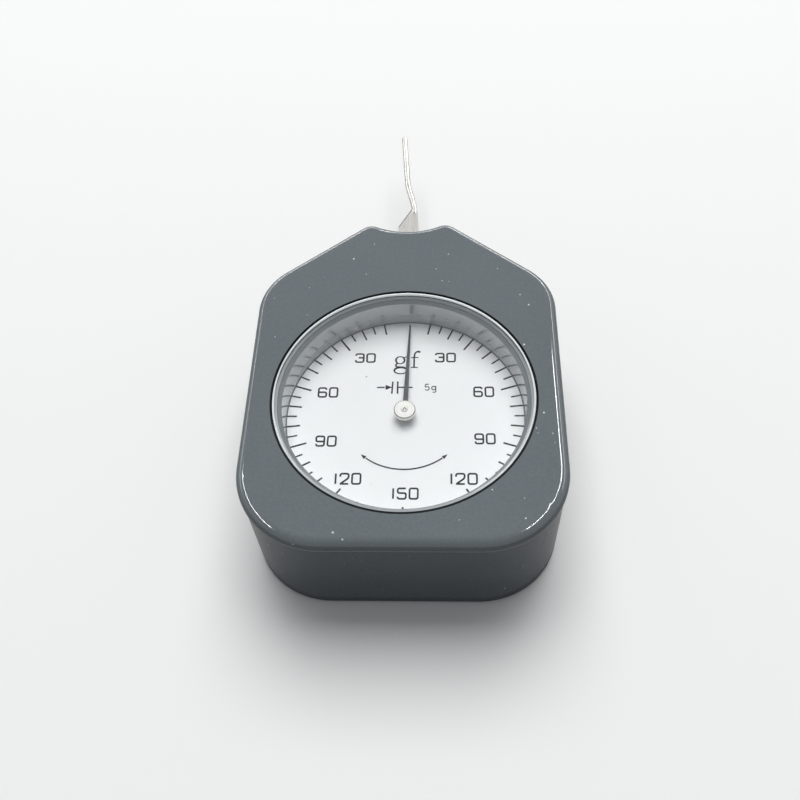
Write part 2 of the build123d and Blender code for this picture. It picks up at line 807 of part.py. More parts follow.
# Sector gear, drawn about the lever's pivot with its middle tooth towards the pointer axis
drive_pin_place_points = [(0, drive_pin_y)]
last_tooth = sector_teeth // 2
sector_foot = sector_radius - gear_module * dedendum_share
sector_plane = Plane(origin=(0, pivot_place, sector_back), x_dir=(0, -1, 0), z_dir=(0, 0, 1))
edge_turn = radians(sector_half)
edge_point = (sector_foot * cos(edge_turn), sector_foot * sin(edge_turn))
with BuildPart() as sector_gear:
    with BuildSketch(sector_plane):
        with BuildLine():
            Polyline(
                (0, 0),
                (edge_point[0], -edge_point[1]),
                *gear_points(
                    sector_radius,
                    full_teeth,
                    gear_module * sector_addendum_share,
                    -last_tooth,
                    last_tooth,
                ),
                edge_point,
                close=True,
            )
        make_face()
        for side in (1, -1):
            wedge(
                hub_radius + sector_rim,
                sector_foot - sector_rim,
                side * middle_spoke,
                side * (sector_half - outer_spoke),
                Mode.SUBTRACT,
            )
        Circle(hub_radius)
    extrude(amount=sector_thickness)
    for radius, places in (
        (lever_arbor_radius, [pivot]),
        (rivet_radius, rivet_places),
        (pin_spigot, drive_pin_place_points),
    ):
        post(sector_back, blade_back, radius + fixed_fit, places, Mode.SUBTRACT)
finish(sector_gear.part, "sector_gear")

# Drive pin that pushes the leaf springs
with BuildPart() as drive_pin:
    post(leaf_back, sector_back, drive_pin_radius, drive_pin_place_points)
    post(sector_back, blade_back, pin_spigot, drive_pin_place_points)
finish(drive_pin.part, "drive_pin")

# Pinion, with a gap between two teeth turned to the sector
pinion_middle = sector_back + sector_thickness / 2
pinion_back = pinion_middle - pinion_length / 2
gap_turn = half_turn / pinion_teeth
pinion_plane = Plane.XY.offset(pinion_back).rotated((0, 0, quarter_turn + gap_turn))
with BuildPart() as pinion:
    with BuildSketch(pinion_plane):
        with BuildLine():
            Polyline(
                *gear_points(
                    pinion_radius,
                    pinion_teeth,
                    gear_module * pinion_addendum_share,
                    1,
                    pinion_teeth,
                ),
                close=True,
            )
        make_face()
        Circle(pointer_arbor_radius + fixed_fit, mode=Mode.SUBTRACT)
    extrude(amount=pinion_length)
finish(pinion.part, "pinion")

# Pointer arbor, from the rear bush up through the dial to the cap
with BuildPart() as pointer_arbor:
    post(rear_plate_back + pivot_inset, arbor_back, pointer_pivot_radius)
    post(arbor_back, collet_top, pointer_arbor_radius)
    post(collet_top, cap_top + arbor_proud, pointer_neck_radius)
    chamfer(pointer_arbor.edges().group_by(Axis.Z)[-1], arbor_proud / 2)
finish(pointer_arbor.part, "pointer_arbor")

# Hairspring with its collet and stud: half turns whose centres alternate
with BuildPart() as hairspring_collet:
    post(collet_back, collet_top, collet_radius)
    post(collet_back, collet_top, pointer_arbor_radius + fixed_fit, mode=Mode.SUBTRACT)
finish(hairspring_collet.part, "hairspring_collet")

step_out = hairspring_pitch / 2
first_turn = collet_radius + fixed_fit + hairspring_width / 2
last_turn = first_turn + step_out * (hairspring_half_turns - 1)
with BuildPart() as hairspring:
    with BuildSketch(Plane.XY.offset(hairspring_back)):
        with BuildLine():
            for turn in range(hairspring_half_turns):
                middle = (step_out * (turn % 2), 0)
                radius = first_turn + step_out * turn
                for edge in (-hairspring_width / 2, hairspring_width / 2):
                    CenterArc(middle, radius + edge, half_turn * (turn % 2), half_turn)
            Line((first_turn - hairspring_width / 2, 0), (first_turn + hairspring_width / 2, 0))
            Line((-last_turn + hairspring_width / 2, 0), (-last_turn - hairspring_width / 2, 0))
        make_face()
    extrude(amount=hairspring_height)
finish(hairspring.part, "hairspring")

stud_x = -(last_turn + hairspring_width / 2 + fixed_fit + stud_radius)
with BuildPart() as hairspring_stud:
    post(hairspring_back, front_plate_back, stud_radius, [(stud_x, 0)])
finish(hairspring_stud.part, "hairspring_stud")

# Pointer: boss, needle and cap
with BuildPart() as pointer_boss:
    post(dial_top + dial_to_boss, needle_back, pointer_boss_radius)
    post(
        dial_top + dial_to_boss,
        needle_back,
        pointer_neck_radius + fixed_fit,
        mode=Mode.SUBTRACT,
    )
finish(pointer_boss.part, "pointer_boss")

with BuildPart() as needle:
    with BuildSketch(Plane.XY.offset(needle_back).rotated((0, 0, needle_rest))):
        with BuildLine():
            Polyline(
                (-needle_root_width / 2, 0),
                (-needle_tip_width / 2, needle_reach),
                (needle_tip_width / 2, needle_reach),
                (needle_root_width / 2, 0),
                close=True,
            )
        make_face()
        Circle(needle_eye)
        Circle(pointer_neck_radius + fixed_fit, mode=Mode.SUBTRACT)
    extrude(amount=needle_thickness)
finish(needle.part, "needle")

with BuildPart() as pointer_cap:
    post(cap_back, cap_top, cap_radius)
    chamfer(pointer_cap.edges().group_by(Axis.Z)[-1], cap_chamfer)
    post(cap_back, cap_top, pointer_neck_radius + fixed_fit, mode=Mode.SUBTRACT)
finish(pointer_cap.part, "pointer_cap")
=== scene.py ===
import json
from math import cos, pi, radians, sin

import bpy
from mathutils import Matrix, Vector


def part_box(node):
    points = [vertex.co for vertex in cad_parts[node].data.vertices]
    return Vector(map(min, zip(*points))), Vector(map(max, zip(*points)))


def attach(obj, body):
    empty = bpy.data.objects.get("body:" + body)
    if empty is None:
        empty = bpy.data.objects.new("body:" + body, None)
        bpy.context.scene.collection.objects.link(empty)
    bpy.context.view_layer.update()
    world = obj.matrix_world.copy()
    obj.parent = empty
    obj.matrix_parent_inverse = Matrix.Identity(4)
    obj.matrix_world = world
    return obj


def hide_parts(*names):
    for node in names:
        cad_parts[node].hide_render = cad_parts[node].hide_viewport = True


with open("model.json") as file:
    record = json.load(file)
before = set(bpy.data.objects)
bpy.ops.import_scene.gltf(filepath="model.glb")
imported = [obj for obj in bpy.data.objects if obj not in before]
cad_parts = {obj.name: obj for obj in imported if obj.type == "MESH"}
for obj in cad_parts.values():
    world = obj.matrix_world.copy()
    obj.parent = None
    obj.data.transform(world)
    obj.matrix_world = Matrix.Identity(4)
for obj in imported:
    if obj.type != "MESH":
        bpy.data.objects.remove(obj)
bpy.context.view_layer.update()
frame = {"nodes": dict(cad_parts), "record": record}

mm = 0.001
weld = 0.001           # points closer than this become one, in millimetres like every piece's sizes
cornerSteps = 4        # segments of a rounded corner in the print
ovalSteps = 40
print("frame loaded:", len(frame["nodes"]), "nodes")


def selectOnly(*objects):
    bpy.ops.object.select_all(action='DESELECT')
    for item in objects:
        item.select_set(True)
    bpy.context.view_layer.objects.active = objects[0]


def joinAll(objects):
    selectOnly(*objects)
    if len(objects) > 1:
        bpy.ops.object.join()
    return bpy.context.object


def copyOf(piece, place):  # each copy has its own mesh
    selectOnly(piece)
    bpy.ops.object.duplicate(linked=False)
    bpy.context.object.location = place
    return bpy.context.object


def applyPlace(piece):
    selectOnly(piece)
    bpy.ops.object.transform_apply(location=True, rotation=True, scale=True)


def selectWhole():
    bpy.ops.mesh.select_all(action='SELECT')


def startPoint(across, along, up=0.0):
    # a new mesh of one point, left selected in edit mode
    bpy.ops.object.select_all(action='DESELECT')
    bpy.ops.mesh.primitive_plane_add(size=mm, location=(across * mm, along * mm, up * mm))
    drawn = bpy.context.object
    bpy.ops.object.mode_set(mode='EDIT')
    selectWhole()
    bpy.ops.mesh.merge(type='CENTER')
    return drawn


def drawOn(across, along, up=0.0):
    step = (across * mm, along * mm, up * mm)
    bpy.ops.mesh.extrude_region_move(TRANSFORM_OT_translate={"value": step})


def weldPoints(reach=weld):
    selectWhole()
    bpy.ops.mesh.remove_doubles(threshold=reach * mm)
    selectWhole()


def closeShell():
    # the faces turned outward, and out of edit mode
    selectWhole()
    bpy.ops.mesh.normals_make_consistent(inside=False)
    bpy.ops.object.mode_set(mode='OBJECT')


def giveWidth(piece, width):
    # an upright ribbon gets its width, half to each side
    selectOnly(piece)
    wall = piece.modifiers.new("wall", 'SOLIDIFY')
    wall.thickness = width * mm
    wall.offset = 0
    wall.use_even_offset = True
    bpy.ops.object.modifier_apply(modifier="wall")


def drawStroke(points, width, height, corner=0.0, closed=False):
    # a point is drawn along the line, its corners rounded, then it gets its height and its width
    stroke = startPoint(*points[0])
    for (fromX, fromY), (toX, toY) in zip(points, points[1:]):
        drawOn(toX - fromX, toY - fromY)
    selectWhole()
    if closed:  # the last point lies on the first
        weldPoints()
    if corner:
        bpy.ops.mesh.bevel(offset=corner * mm, segments=cornerSteps, affect='VERTICES')
        selectWhole()
    drawOn(0, 0, height)
    closeShell()
    giveWidth(stroke, width)
    return stroke


def drawRing(middle, outer, inner, innerShift, height):
    # a flat ring between two ovals, thicker on some sides where the inner one is shifted
    bpy.ops.object.select_all(action='DESELECT')
    place = (middle[0] * mm, middle[1] * mm, 0)
    bpy.ops.mesh.primitive_circle_add(vertices=ovalSteps, radius=mm, location=place)
    ring = bpy.context.object
    bpy.ops.object.mode_set(mode='EDIT')
    selectWhole()
    bpy.ops.transform.resize(value=(outer[0], outer[1], 1), center_override=ring.location)
    shift = (innerShift[0] * mm, innerShift[1] * mm, 0)
    bpy.ops.mesh.duplicate_move(TRANSFORM_OT_translate={"value": shift})
    bpy.ops.transform.resize(value=(inner[0] / outer[0], inner[1] / outer[1], 1),
                             center_override=ring.location + Vector(shift))
    selectWhole()
    bpy.ops.mesh.bridge_edge_loops()
    selectWhole()
    drawOn(0, 0, height)
    closeShell()
    return ring


def drawDisc(middle, radius, height, corners=20, turn=0.0, stretch=(1, 1)):
    # a filled dot, or an arrowhead when it has three corners
    bpy.ops.object.select_all(action='DESELECT')
    place = (middle[0] * mm, middle[1] * mm, 0)
    bpy.ops.mesh.primitive_circle_add(vertices=corners, radius=radius * mm, fill_type='NGON',
                                      location=place)
    disc = bpy.context.object
    bpy.ops.object.mode_set(mode='EDIT')
    selectWhole()
    bpy.ops.transform.resize(value=(stretch[0], stretch[1], 1), center_override=place)
    drawOn(0, 0, height)
    closeShell()
    disc.rotation_euler[2] = radians(turn)
    return disc


def startProfile(profile, along=0.0):
    # a closed line in the upright plane, its points across and up, left selected in edit mode
    startAcross, startUp = profile[0]
    drawn = startPoint(startAcross, along, startUp)
    for (fromAcross, fromUp), (toAcross, toUp) in zip(profile, profile[1:] + profile[:1]):
        drawOn(toAcross - fromAcross, 0, toUp - fromUp)
    weldPoints()
    return drawn


def turnProfile(profile, steps):
    # a closed profile of radius and height, turned about the pointer's axis
    turned = startProfile(profile)
    bpy.ops.mesh.spin(steps=steps, angle=2 * pi, center=(0, 0, 0), axis=(0, 0, 1))
    weldPoints()
    closeShell()
    return turned


def finishPiece(piece, name, body, finish, height=0.0, standsFor=None):
    # the piece keeps its place in its mesh, its object stays at the origin
    piece.location[2] += height * mm
    applyPlace(piece)
    piece.name = name
    piece.data.name = name
    piece.data.materials.clear()
    piece.data.materials.append(finish)
    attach(piece, body)
    if standsFor:
        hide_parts(standsFor)
    return piece


def newGroup(name, inputs, outputs):
    group = bpy.data.node_groups.new(name, 'ShaderNodeTree')
    group.interface.new_socket("Vector", in_out='INPUT', socket_type='NodeSocketVector')
    for label, value in inputs.items():
        socket = group.interface.new_socket(label, in_out='INPUT', socket_type='NodeSocketFloat')
        socket.default_value = value
    for label in outputs:
        group.interface.new_socket(label, in_out='OUTPUT', socket_type='NodeSocketFloat')
    return group, group.nodes.new('NodeGroupInput'), group.nodes.new('NodeGroupOutput')


def addNode(tree, kind, settings=None, links=None):
    node = tree.nodes.new(kind)
    for label, value in (settings or {}).items():
        if hasattr(node, label):
            setattr(node, label, value)
        else:
            node.inputs[label].default_value = value
    for label, source in (links or {}).items():
        tree.links.new(source, node.inputs[label])
    return node


def addMath(tree, operation, first, second=0.0):
    node = tree.nodes.new('ShaderNodeMath')
    node.operation = operation
    for index, value in enumerate((first, second)):
        if isinstance(value, (int, float)):
            node.inputs[index].default_value = value
        else:
            tree.links.new(value, node.inputs[index])
    return node.outputs[0]


def splitVector(tree, vector):
    return addNode(tree, 'ShaderNodeSeparateXYZ', links={"Vector": vector}).outputs


def addRadius(tree, vector):
    # how far a point lies from the pointer's axis, in metres
    parts = splitVector(tree, vector)
    squares = [addMath(tree, 'MULTIPLY', part, part) for part in (parts[0], parts[1])]
    return addMath(tree, 'SQRT', addMath(tree, 'ADD', *squares))


def makeDust(values):
    # sparse specks: a few cells are picked, and a dot is left in the middle of each
    group, given, out = newGroup("dust specks", values, ["Mask"])
    cells = addNode(group, 'ShaderNodeTexVoronoi', {"feature": 'F1'},
                    {"Vector": given.outputs["Vector"], "Scale": given.outputs["Scale"]})
    pick = addNode(group, 'ShaderNodeSeparateColor', links={"Color": cells.outputs["Color"]})
    chosen = addMath(group, 'LESS_THAN', pick.outputs[0], given.outputs["Share"])
    size = addMath(group, 'MULTIPLY', pick.outputs[1], given.outputs["Size"])
    dot = addMath(group, 'LESS_THAN', cells.outputs["Distance"], size)
    group.links.new(addMath(group, 'MULTIPLY', chosen, dot), out.inputs["Mask"])
    return group


def makeHandling(values):
    # broad, soft marks from handling, and a finer unevenness over them
    group, given, out = newGroup("handling marks", values, ["Tone", "Fine"])
    middle = 0.5
    broad = addNode(group, 'ShaderNodeTexNoise',
                    {"Detail": 3.0, "Roughness": 0.55, "Distortion": 0.4},
                    {"Vector": given.outputs["Vector"], "Scale": given.outputs["Scale"]})
    fineScale = addMath(group, 'MULTIPLY', given.outputs["Scale"], given.outputs["Fineness"])
    fine = addNode(group, 'ShaderNodeTexNoise', {"Detail": 2.0, "Roughness": 0.6},
                   {"Vector": given.outputs["Vector"], "Scale": fineScale})
    centred = addMath(group, 'SUBTRACT', broad.outputs[0], middle)
    spread = addMath(group, 'MULTIPLY', centred, given.outputs["Contrast"])
    group.links.new(addMath(group, 'ADD', spread, middle), out.inputs["Tone"])
    group.links.new(fine.outputs[0], out.inputs["Fine"])
    return group


def makeTurned(values):
    # fine rings left by a lathe, about the pointer's axis
    group, given, out = newGroup("turned rings", values, ["Height", "Tone"])
    radius = addRadius(group, given.outputs["Vector"])
    phase = addMath(group, 'MULTIPLY', radius, given.outputs["Rings"])
    for label, scale, detail in (("Height", 1.0, 2.0), ("Tone", 0.2, 1.0)):
        rings = addNode(group, 'ShaderNodeTexNoise',
                        {"noise_dimensions": '1D', "Detail": detail, "Scale": scale}, {"W": phase})
        group.links.new(rings.outputs[0], out.inputs[label])
    return group


def makeBrushed(values):
    # grain drawn out along Y: lines that are fine across and long along the metal
    group, given, out = newGroup("brushed grain", values, ["Height", "Tone"])
    parts = splitVector(group, given.outputs["Vector"])
    labels = ("Fineness", "Length", "Fineness")
    drawn = addNode(group, 'ShaderNodeCombineXYZ', links={
        index: addMath(group, 'MULTIPLY', parts[index], given.outputs[label])
        for index, label in enumerate(labels)})
    grain = addNode(group, 'ShaderNodeTexNoise', {"Scale": 1.0, "Detail": 2.0, "Roughness": 0.6},
                    {"Vector": drawn.outputs[0]})
    broad = addNode(group, 'ShaderNodeTexNoise', {"Scale": 0.15, "Detail": 1.0},
                    {"Vector": drawn.outputs[0]})
    group.links.new(grain.outputs[0], out.inputs["Height"])
    group.links.new(broad.outputs[0], out.inputs["Tone"])
    return group


dust = makeDust({"Scale": 400.0, "Share": 0.05, "Size": 0.2})
handling = makeHandling({"Scale": 60.0, "Contrast": 1.0, "Fineness": 40.0})
turnedRings = makeTurned({"Rings": 9000.0})
brushedGrain = makeBrushed({"Fineness": 6000.0, "Length": 60.0})
print("shared effects made")


def newFinish(name, settings):
    finish = bpy.data.materials.new(name)
    finish.use_nodes = True
    tree = finish.node_tree
    shader = tree.nodes["Principled BSDF"]
    for label, value in settings.items():
        shader.inputs[label].default_value = value
    coords = tree.nodes.new('ShaderNodeTexCoord')
    return finish, tree, shader, coords.outputs["Object"]


def placeGroup(tree, group, vector, settings):
    node = tree.nodes.new('ShaderNodeGroup')
    node.node_tree = group
    tree.links.new(vector, node.inputs["Vector"])
    for label, value in settings.items():
        node.inputs[label].default_value = value
    return node


def mixTones(tree, share, first, second):
    mix = tree.nodes.new('ShaderNodeMix')
    mix.data_type = 'RGBA'
    if isinstance(share, float):
        mix.inputs[0].default_value = share
    else:
        tree.links.new(share, mix.inputs[0])
    for index, colour in ((6, first), (7, second)):
        if isinstance(colour, (tuple, list)):
            mix.inputs[index].default_value = (*colour, 1)
        else:
            tree.links.new(colour, mix.inputs[index])
    return mix.outputs[2]


def mapRange(tree, source, low, high, fromLow=0.3, fromHigh=0.7):
    # where no range is given it is the one that most of a noise's values lie in
    node = addNode(tree, 'ShaderNodeMapRange', {
        "From Min": fromLow, "From Max": fromHigh, "To Min": low, "To Max": high},
        {"Value": source})
    return node.outputs[0]


def addBump(tree, shader, height, strength, reach):
    bump = addNode(tree, 'ShaderNodeBump', {"Strength": strength, "Distance": reach * mm},
                   {"Height": height})
    tree.links.new(bump.outputs[0], shader.inputs["Normal"])


def markBand(tree, value, band):
    # one between two limits in millimetres, and nothing outside them
    above = addMath(tree, 'GREATER_THAN', value, band[0] * mm)
    return addMath(tree, 'MULTIPLY', above, addMath(tree, 'LESS_THAN', value, band[1] * mm))


def addBore(tree, shader, vector, values, tone, roughness, grain):
    # polished inside the window, with painted light on its wall and mouth, painted shade in the gap
    # round it, and a painted highlight along the rim's parting edge
    radius = addRadius(tree, vector)
    height = splitVector(tree, vector)[2]
    polished = markBand(tree, radius, values["polishedRing"])
    grained = addMath(tree, 'SUBTRACT', 1.0, polished)
    tree.links.new(polished, shader.inputs["Coat Weight"])
    shader.inputs["Coat IOR"].default_value = values["coatIor"]
    shader.inputs["Coat Roughness"].default_value = values["coatRoughness"]
    roughness = addMath(tree, 'ADD', addMath(tree, 'MULTIPLY', roughness, grained),
                        addMath(tree, 'MULTIPLY', polished, values["polish"]))
    grain = addMath(tree, 'MULTIPLY', grain, grained)
    # painted light: the wall's tone is lighter toward the dial
    rise = mapRange(tree, height, 0.0, 1.0, values["wallBottom"] * mm, values["wallTop"] * mm)
    wall = mixTones(tree, rise, values["paintedLightLow"], values["highTone"])
    tone = mixTones(tree, polished, tone, wall)
    # painted light on the slope at the bore's mouth
    mouth = markBand(tree, radius, values["mouthRing"])
    tone = mixTones(tree, mouth, tone, values["mouthPaintedLight"])
    # painted shade in the gap round the window
    gapShade = markBand(tree, radius, values["gapShadeRing"])
    tone = mixTones(tree, gapShade, tone, values["gapShadeTone"])
    # a painted highlight along the rim's parting edge
    lipHighlight = addMath(tree, 'MULTIPLY', markBand(tree, height, values["lipHighlightLine"]),
                   markBand(tree, radius, values["outside"]))
    return mixTones(tree, lipHighlight, tone, values["lipHighlightTone"]), roughness, grain


def mouldedPlastic(name, values, bore=None):
    finish, tree, shader, vector = newFinish(name, {"IOR": values["ior"]})
    marks = placeGroup(tree, handling, vector, {"Scale": values["markScale"]})
    specks = placeGroup(tree, dust, vector, {
        "Scale": values["dustScale"], "Share": values["dustShare"], "Size": values["dustSize"]})
    body = mixTones(tree, marks.outputs["Tone"], values["darker"], values["lighter"])
    grainMask = mapRange(tree, marks.outputs["Fine"], 0.0, 1.0)
    grained = mixTones(tree, grainMask, body, values["grainTone"])
    plain = mixTones(tree, values["grainShare"], body, grained)
    tone = mixTones(tree, specks.outputs["Mask"], plain, values["dustTone"])
    roughness = mapRange(tree, marks.outputs["Tone"], *values["roughness"])
    grain = marks.outputs["Fine"]
    if bore:
        tone, roughness, grain = addBore(tree, shader, vector, bore, tone, roughness, grain)
    tree.links.new(tone, shader.inputs["Base Color"])
    tree.links.new(roughness, shader.inputs["Roughness"])
    addBump(tree, shader, grain, values["grainDepth"], values["grainReach"])
    return finish


casePlastic = mouldedPlastic("case_plastic", {
    "darker": (0.118, 0.140, 0.156),
    "lighter": (0.131, 0.154, 0.171),
    "grainTone": (0.172, 0.195, 0.210),
    "grainShare": 0.35,     # how much of the grain's tone shows
    "dustTone": (0.62, 0.66, 0.68),
    "dustScale": 700.0,
    "dustShare": 0.24,
    "dustSize": 0.15,
    "markScale": 45.0,
    "roughness": (0.06, 0.12),
    "grainDepth": 0.015,
    "grainReach": 0.02,
    "ior": 1.5,
}, bore={
    # rings are radii about the pointer's axis, wall and line are heights above the back
    "polishedRing": (0.0, 23.23),
    "polish": 0.06,
    "coatIor": 3.4,
    "coatRoughness": 0.22,
    "paintedLightLow": (0.275, 0.31, 0.335),    # painted light: the bore's wall is painted lighter toward the dial
    "highTone": (0.095, 0.114, 0.128),
    "wallBottom": 17.5,
    "wallTop": 21.5,
    "mouthRing": (23.23, 23.95),        # the slope at the bore's mouth, which gets painted light
    "mouthPaintedLight": (0.20, 0.225, 0.235),
    # painted shade in the gap round the window
    "gapShadeRing": (24.74, 25.20),
    "gapShadeTone": (0.012, 0.014, 0.015),
    "lipHighlightLine": (23.80, 23.97),          # a painted highlight along the rim's parting edge
    "lipHighlightTone": (0.33, 0.37, 0.40),
    "outside": (27.0, 60.0),
})
coverPlastic = mouldedPlastic("cover_plastic", {
    "darker": (0.070, 0.084, 0.094),
    "lighter": (0.082, 0.097, 0.107),
    "grainTone": (0.11, 0.125, 0.135),
    "grainShare": 0.5,
    "dustTone": (0.4, 0.42, 0.44),
    "dustScale": 300.0,
    "dustShare": 0.02,
    "dustSize": 0.1,
    "markScale": 45.0,
    "roughness": (0.42, 0.52),
    "grainDepth": 0.5,
    "grainReach": 0.02,
    "ior": 1.5,
})


def clearAcrylic(name, values):
    finish, tree, shader, vector = newFinish(name, {
        "Base Color": (*values["tint"], 1), "Transmission Weight": 1.0, "IOR": values["ior"]})
    marks = placeGroup(tree, handling, vector, {"Scale": values["smearScale"]})
    roughness = mapRange(tree, marks.outputs["Tone"], *values["roughness"])
    tree.links.new(roughness, shader.inputs["Roughness"])
    light = tree.nodes.new('ShaderNodeLightPath')
    through = tree.nodes.new('ShaderNodeBsdfTransparent')
    through.inputs[0].default_value = (*values["shade"], 1)
    mix = tree.nodes.new('ShaderNodeMixShader')
    # light reaches the dial straight through
    straight = addMath(tree, 'MAXIMUM', light.outputs["Is Shadow Ray"],
                       light.outputs["Is Diffuse Ray"])
    tree.links.new(straight, mix.inputs[0])
    tree.links.new(shader.outputs[0], mix.inputs[1])
    tree.links.new(through.outputs[0], mix.inputs[2])
    tree.links.new(mix.outputs[0], tree.nodes["Material Output"].inputs["Surface"])
    return finish


crystalClear = clearAcrylic("crystal_acrylic", {
    "tint": (0.985, 0.992, 0.995),
    "shade": (0.97, 0.975, 0.98),
    "ior": 1.49,
    "smearScale": 90.0,
    "roughness": (0.0, 0.03),
})


def groundAcrylic(name, values):
    # the side facing out into the gap gets painted shade, and the ground edge gets a painted glow,
    # brighter on the far side
    finish, tree, shader, vector = newFinish(name, {
        "IOR": values["ior"], "Emission Strength": values["paintedEdgeGlow"]})
    marks = placeGroup(tree, handling, vector, {"Scale": values["markScale"]})
    ground = mixTones(tree, marks.outputs["Tone"], values["darker"], values["lighter"])
    # painted shade on the side that faces out into the gap
    geometry = tree.nodes.new('ShaderNodeNewGeometry')
    side = markBand(tree, addRadius(tree, vector), values["sideRing"])
    facing = addMath(tree, 'SUBTRACT', 1.0, geometry.outputs["Backfacing"])
    outside = addMath(tree, 'MULTIPLY', side, facing)
    # painted light: the glow is brighter toward the far side
    far = mapRange(tree, splitVector(tree, vector)[1], 0.0, 1.0, -values["nearReach"] * mm, 0.0)
    glow = mixTones(tree, far, values["paintedNearGlow"], values["paintedFarGlow"])
    roughness = mapRange(tree, marks.outputs["Fine"], *values["roughness"])
    for tone, label in ((ground, "Base Color"), (glow, "Emission Color")):
        tree.links.new(mixTones(tree, outside, tone, values["sideShadeTone"]), shader.inputs[label])
    tree.links.new(roughness, shader.inputs["Roughness"])
    addBump(tree, shader, marks.outputs["Fine"], values["grainDepth"], values["grainReach"])
    return finish


crystalGround = groundAcrylic("crystal_ground_edge", {
    "darker": (0.25, 0.275, 0.29),
    "lighter": (0.34, 0.365, 0.38),
    "ior": 1.49,
    "markScale": 120.0,
    "roughness": (0.25, 0.4),
    "grainDepth": 0.2,
    "grainReach": 0.01,
    "paintedEdgeGlow": 0.42,                  # painted glow of the ground edge
    "paintedFarGlow": (0.80, 0.84, 0.86),
    "paintedNearGlow": (0.25, 0.27, 0.28),    # painted glow on the side away from the light, dimmer
    "nearReach": 22.0,                 # the near side's glow is reached this far from the axis
    "sideRing": (24.73, 24.80),
    # painted shade on the side that faces out into the gap
    "sideShadeTone": (0.02, 0.022, 0.024),
})

paintHabits = {"ior": 1.45, "gloss": 0.5, "dustSize": 0.12, "grainReach": 0.01}


def paintedFinish(name, own):
    values = {**paintHabits, **own}
    finish, tree, shader, vector = newFinish(name, {
        "IOR": values["ior"], "Specular IOR Level": values["gloss"]})
    marks = placeGroup(tree, handling, vector, {"Scale": values["markScale"]})
    specks = placeGroup(tree, dust, vector, {
        "Scale": values["dustScale"], "Share": values["dustShare"], "Size": values["dustSize"]})
    body = mixTones(tree, marks.outputs["Tone"], values["darker"], values["lighter"])
    tone = mixTones(tree, specks.outputs["Mask"], body, values["dustTone"])
    roughness = mapRange(tree, marks.outputs["Tone"], *values["roughness"])
    tree.links.new(tone, shader.inputs["Base Color"])
    tree.links.new(roughness, shader.inputs["Roughness"])
    addBump(tree, shader, marks.outputs["Fine"], values["grainDepth"], values["grainReach"])
    return finish


dialPaint = paintedFinish("dial_paint", {
    "darker": (0.89, 0.905, 0.91), "lighter": (0.92, 0.935, 0.94), "dustTone": (0.35, 0.37, 0.38),
    "dustScale": 500.0, "dustShare": 0.012, "markScale": 70.0,
    "roughness": (0.55, 0.65), "grainDepth": 0.1,
})
dialInk = paintedFinish("dial_ink", {
    "darker": (0.006, 0.010, 0.012), "lighter": (0.012, 0.017, 0.020),
    "dustTone": (0.08, 0.09, 0.1),
    "dustScale": 800.0, "dustShare": 0.02, "markScale": 400.0, "gloss": 0.2,
    "roughness": (0.38, 0.5), "grainDepth": 0.2,
})
sealRubber = paintedFinish("seal_rubber", {
    "darker": (0.40, 0.422, 0.436), "lighter": (0.47, 0.492, 0.506), "dustTone": (0.6, 0.6, 0.6),
    "dustScale": 600.0, "dustShare": 0.02, "markScale": 120.0,
    "roughness": (0.5, 0.6), "grainDepth": 0.4,
})
# a dark ring standing in for the shadow in the seam round the dial: painted shade
seamShadeFinish = paintedFinish("seam_shade_dark", {
    "darker": (0.06, 0.066, 0.07), "lighter": (0.08, 0.088, 0.092), "dustTone": (0.2, 0.2, 0.2),
    "dustScale": 600.0, "dustShare": 0.02, "markScale": 120.0,
    "roughness": (0.5, 0.6), "grainDepth": 0.4,
})
needlePaint = paintedFinish("needle_paint", {
    "darker": (0.042, 0.048, 0.052), "lighter": (0.062, 0.069, 0.073),
    "dustTone": (0.3, 0.31, 0.32),
    "dustScale": 700.0, "dustShare": 0.02, "markScale": 150.0,
    "roughness": (0.28, 0.38), "grainDepth": 0.1,
})

metalHabits = {
    "metallic": 1.0,
    "turned": False,        # grain in rings about the pointer's axis, or drawn out along Y
    "stainFrom": (0.5, 0.8),
    "grainReach": 0.01,
}


def grainedMetal(name, own):
    values = {**metalHabits, **own}
    finish, tree, shader, vector = newFinish(name, {"Metallic": values["metallic"]})
    if values["turned"]:
        grain = placeGroup(tree, turnedRings, vector, {"Rings": values["fineness"]})
    else:
        grain = placeGroup(tree, brushedGrain, vector, {
            "Fineness": values["fineness"], "Length": values["length"]})
    marks = placeGroup(tree, handling, vector, {"Scale": values["markScale"]})
    lines = mixTones(tree, grain.outputs["Tone"], values["darker"], values["lighter"])
    stain = mapRange(tree, marks.outputs["Tone"], 0.0, values["stain"], *values["stainFrom"])
    metal = mixTones(tree, stain, lines, values["stainTone"])
    # a painted dark line round a rim, standing in for shade at its edge
    if "rimShadeRing" in values:
        edge = markBand(tree, addRadius(tree, vector), values["rimShadeRing"])
        metal = mixTones(tree, edge, metal, values["rimShadeTone"])
    # painted reflection: the metal is painted darker where it turns away from the view
    if "awayPaintedReflection" in values:  # where the metal turns away it mirrors darker things
        layer = tree.nodes.new('ShaderNodeLayerWeight')
        away = mapRange(tree, layer.outputs["Facing"], 0.0, values["awayMost"], *values["awayFrom"])
        metal = mixTones(tree, away, metal, values["awayPaintedReflection"])
    roughness = mapRange(tree, grain.outputs["Height"], *values["roughness"])
    tree.links.new(metal, shader.inputs["Base Color"])
    tree.links.new(roughness, shader.inputs["Roughness"])
    addBump(tree, shader, grain.outputs["Height"], values["grainDepth"], values["grainReach"])
    return finish


